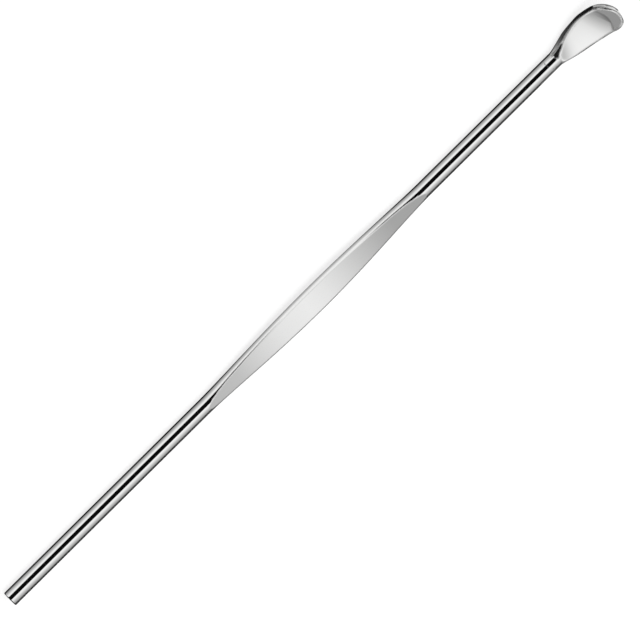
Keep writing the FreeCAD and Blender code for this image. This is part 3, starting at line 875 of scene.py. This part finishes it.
# %% Cards square to the wire
def cross_card(name, x, y_range, z_range, levels):
    """A card square to the wire at a distance along it, whose light changes with height."""
    (y_low, y_high), (z_low, z_high) = y_range, z_range
    y_middle, z_middle = (y_low + y_high) / 2, (z_low + z_high) / 2
    card = panel(
        name, (x, y_middle, z_middle), (z_high - z_low, y_high - y_low), (0, math.pi / 2, 0),
        glowing(name + "_light", "Z", levels))
    toe = (x - MIDDLE_ALONG) * MM / distance * math.hypot(y_middle, z_middle) / (abs(y_middle) + z_middle)
    to_card = Matrix.Translation((x * MM, 0, 0))
    turn = Matrix.Rotation(math.copysign(toe, -y_middle * x), 4, "Z") @ Matrix.Rotation(toe, 4, "Y")
    card.matrix_world = to_card @ turn @ to_card.inverted()
    bpy.ops.object.transform_apply(location=True, rotation=True, scale=True)
    hide_from_camera(card, lights_things=False)


# %% [markdown]
# At the neck, five cards on the camera's side stand just behind the scoop. A dark one with a light one over it
# gives the near rim its black band and the pale line beside it. A grey and a dark one further out shade the
# flare, and a low one sets off the foot of the scoop.

# %% The cards at the neck, on the camera's side
NECK = 31.5
LOW_NECK = 32.2
DARK_TOP = 4.6
NECK_LIGHT_LEVELS = ((DARK_TOP, 0.05), (5.5, 0.35), (6.8, 0.75), (8, 0.95), (11, 0.95), (13, 0.6))
NECK_LOW_LEVELS = ((0, 0.03), (0.2, 0.04), (0.3, 0.08), (0.42, 0.25), (0.6, 0.4), (0.9, 0.4))

cross_card("neck_card", NECK, (1.2, 5.7), (0, DARK_TOP), ((0, 0.01), (4.2, 0.015), (DARK_TOP, 0.05)))
cross_card("neck_light_card", NECK, (1, 4.4), (DARK_TOP, 13), NECK_LIGHT_LEVELS)
cross_card("neck_grey_card", NECK, (6.6, 14.2), (0, 14), ((0, 0.3), (6, 0.3), (14, 0.4)))
cross_card("neck_dark_card", NECK, (14.2, 40), (0, 12), ((0, 0.01), (12, 0.02)))
cross_card("neck_low_card", LOW_NECK, (1.5, 6), (0, 0.9), NECK_LOW_LEVELS)

# %% [markdown]
# On the far side, one card at the neck greys the steep lip, and a darker one over it draws the crease. A
# third, further off, draws the dark line of the tip's cut edge. A dim card past the tip shades all that
# faces that way, and one behind the butt makes its end face black.

# %% The cards for the lip and for the two ends
CREASE_LEVELS = ((DARK_TOP, 0.3), (5.1, 0.18), (6, 0.17), (6.5, 0.2), (7.2, 0.3), (8.6, 0.42))

cross_card("lip_card", NECK, (-10, -1.5), (0, DARK_TOP), even(0.33))
cross_card("crease_card", NECK, (-8.6, -5.6), (DARK_TOP, 8.6), CREASE_LEVELS)
cross_card("tip_line_card", NECK, (-26, -11), (19, 31), even(0.08))
cross_card("end_card", 52, (-20, 20), (0, 20), even(0.12))
cross_card("butt_black_card", -43, (-12, 12), (0, 12), even(0.004))

# %% [markdown]
# The table and the air round it are pale. A strong lamp could burn them white, but it would spoil the metal
# too. So where the camera looks straight at the table, it glows a little on top of its own colour, and
# where the metal mirrors it, it glows a quarter as much. It still takes the pick's soft shadow.

# %% The table
TABLE_SIZE = 3000 * MM
TABLE_GREY = (0.6, 0.6, 0.6, 1)
CAMERA_LIFT = 0.78
MIRROR_LIFT = CAMERA_LIFT / 4


def white_paper(name):
    """Paper that shows a shadow and is lifted a little where the camera or a mirror sees it."""
    material = bpy.data.materials.new(name)
    material.use_nodes = True
    tree = material.node_tree
    tree.nodes.clear()
    diffuse = tree.nodes.new("ShaderNodeBsdfDiffuse")
    diffuse.inputs["Color"].default_value = TABLE_GREY
    glow = tree.nodes.new("ShaderNodeEmission")
    ray = tree.nodes.new("ShaderNodeLightPath")
    both = tree.nodes.new("ShaderNodeAddShader")
    out = tree.nodes.new("ShaderNodeOutputMaterial")
    camera_lift = calculate(tree, "MULTIPLY", ray.outputs["Is Camera Ray"], CAMERA_LIFT)
    lift = calculate(tree, "MULTIPLY_ADD", ray.outputs["Is Glossy Ray"], MIRROR_LIFT, camera_lift)
    tree.links.new(lift, glow.inputs["Strength"])
    tree.links.new(diffuse.outputs[0], both.inputs[0])
    tree.links.new(glow.outputs[0], both.inputs[1])
    tree.links.new(both.outputs[0], out.inputs["Surface"])
    return material


select_only()
bpy.ops.mesh.primitive_plane_add(size=TABLE_SIZE, location=(0, 0, 0))
table = bpy.context.object
table.name = "table"
table.data.materials.append(white_paper("table_painted_table_light_and_shade"))
table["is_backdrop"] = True
print("the table is", TABLE_SIZE, "m square")

# %% [markdown]
# The world is the same white all round. The camera sees it at full strength, as plain white, and things are
# lit by about half of it, so that their own colours don't wash out.

# %% The world
AIR_LIGHTS = 0.55
AIR_SEEN = 1.0
world = bpy.data.worlds.new("studio")
bpy.context.scene.world = world
world.use_nodes = True
air = world.node_tree.nodes["Background"]
air.inputs["Color"].default_value = (1, 1, 1, 1)
ray = world.node_tree.nodes.new("ShaderNodeLightPath")
level = world.node_tree.nodes.new("ShaderNodeMapRange")
level.inputs["To Min"].default_value = AIR_LIGHTS
level.inputs["To Max"].default_value = AIR_SEEN
world.node_tree.links.new(ray.outputs["Is Camera Ray"], level.inputs["Value"])
world.node_tree.links.new(level.outputs["Result"], air.inputs["Strength"])
bpy.context.scene.view_settings.view_transform = "Standard"
print("the air is white in the picture and lights things at", AIR_LIGHTS)

# %% [markdown]
# At the end we measure what was built. The new piece has to be as large as the measured solid, so both
# sizes are written down side by side.

# %% Check the size and finish
dressed_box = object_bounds()
for title, box in (("measured", cad_box), ("built", dressed_box)):
    print(title, [round((high - low) / MM, 2) for low, high in zip(*box)], "mm")
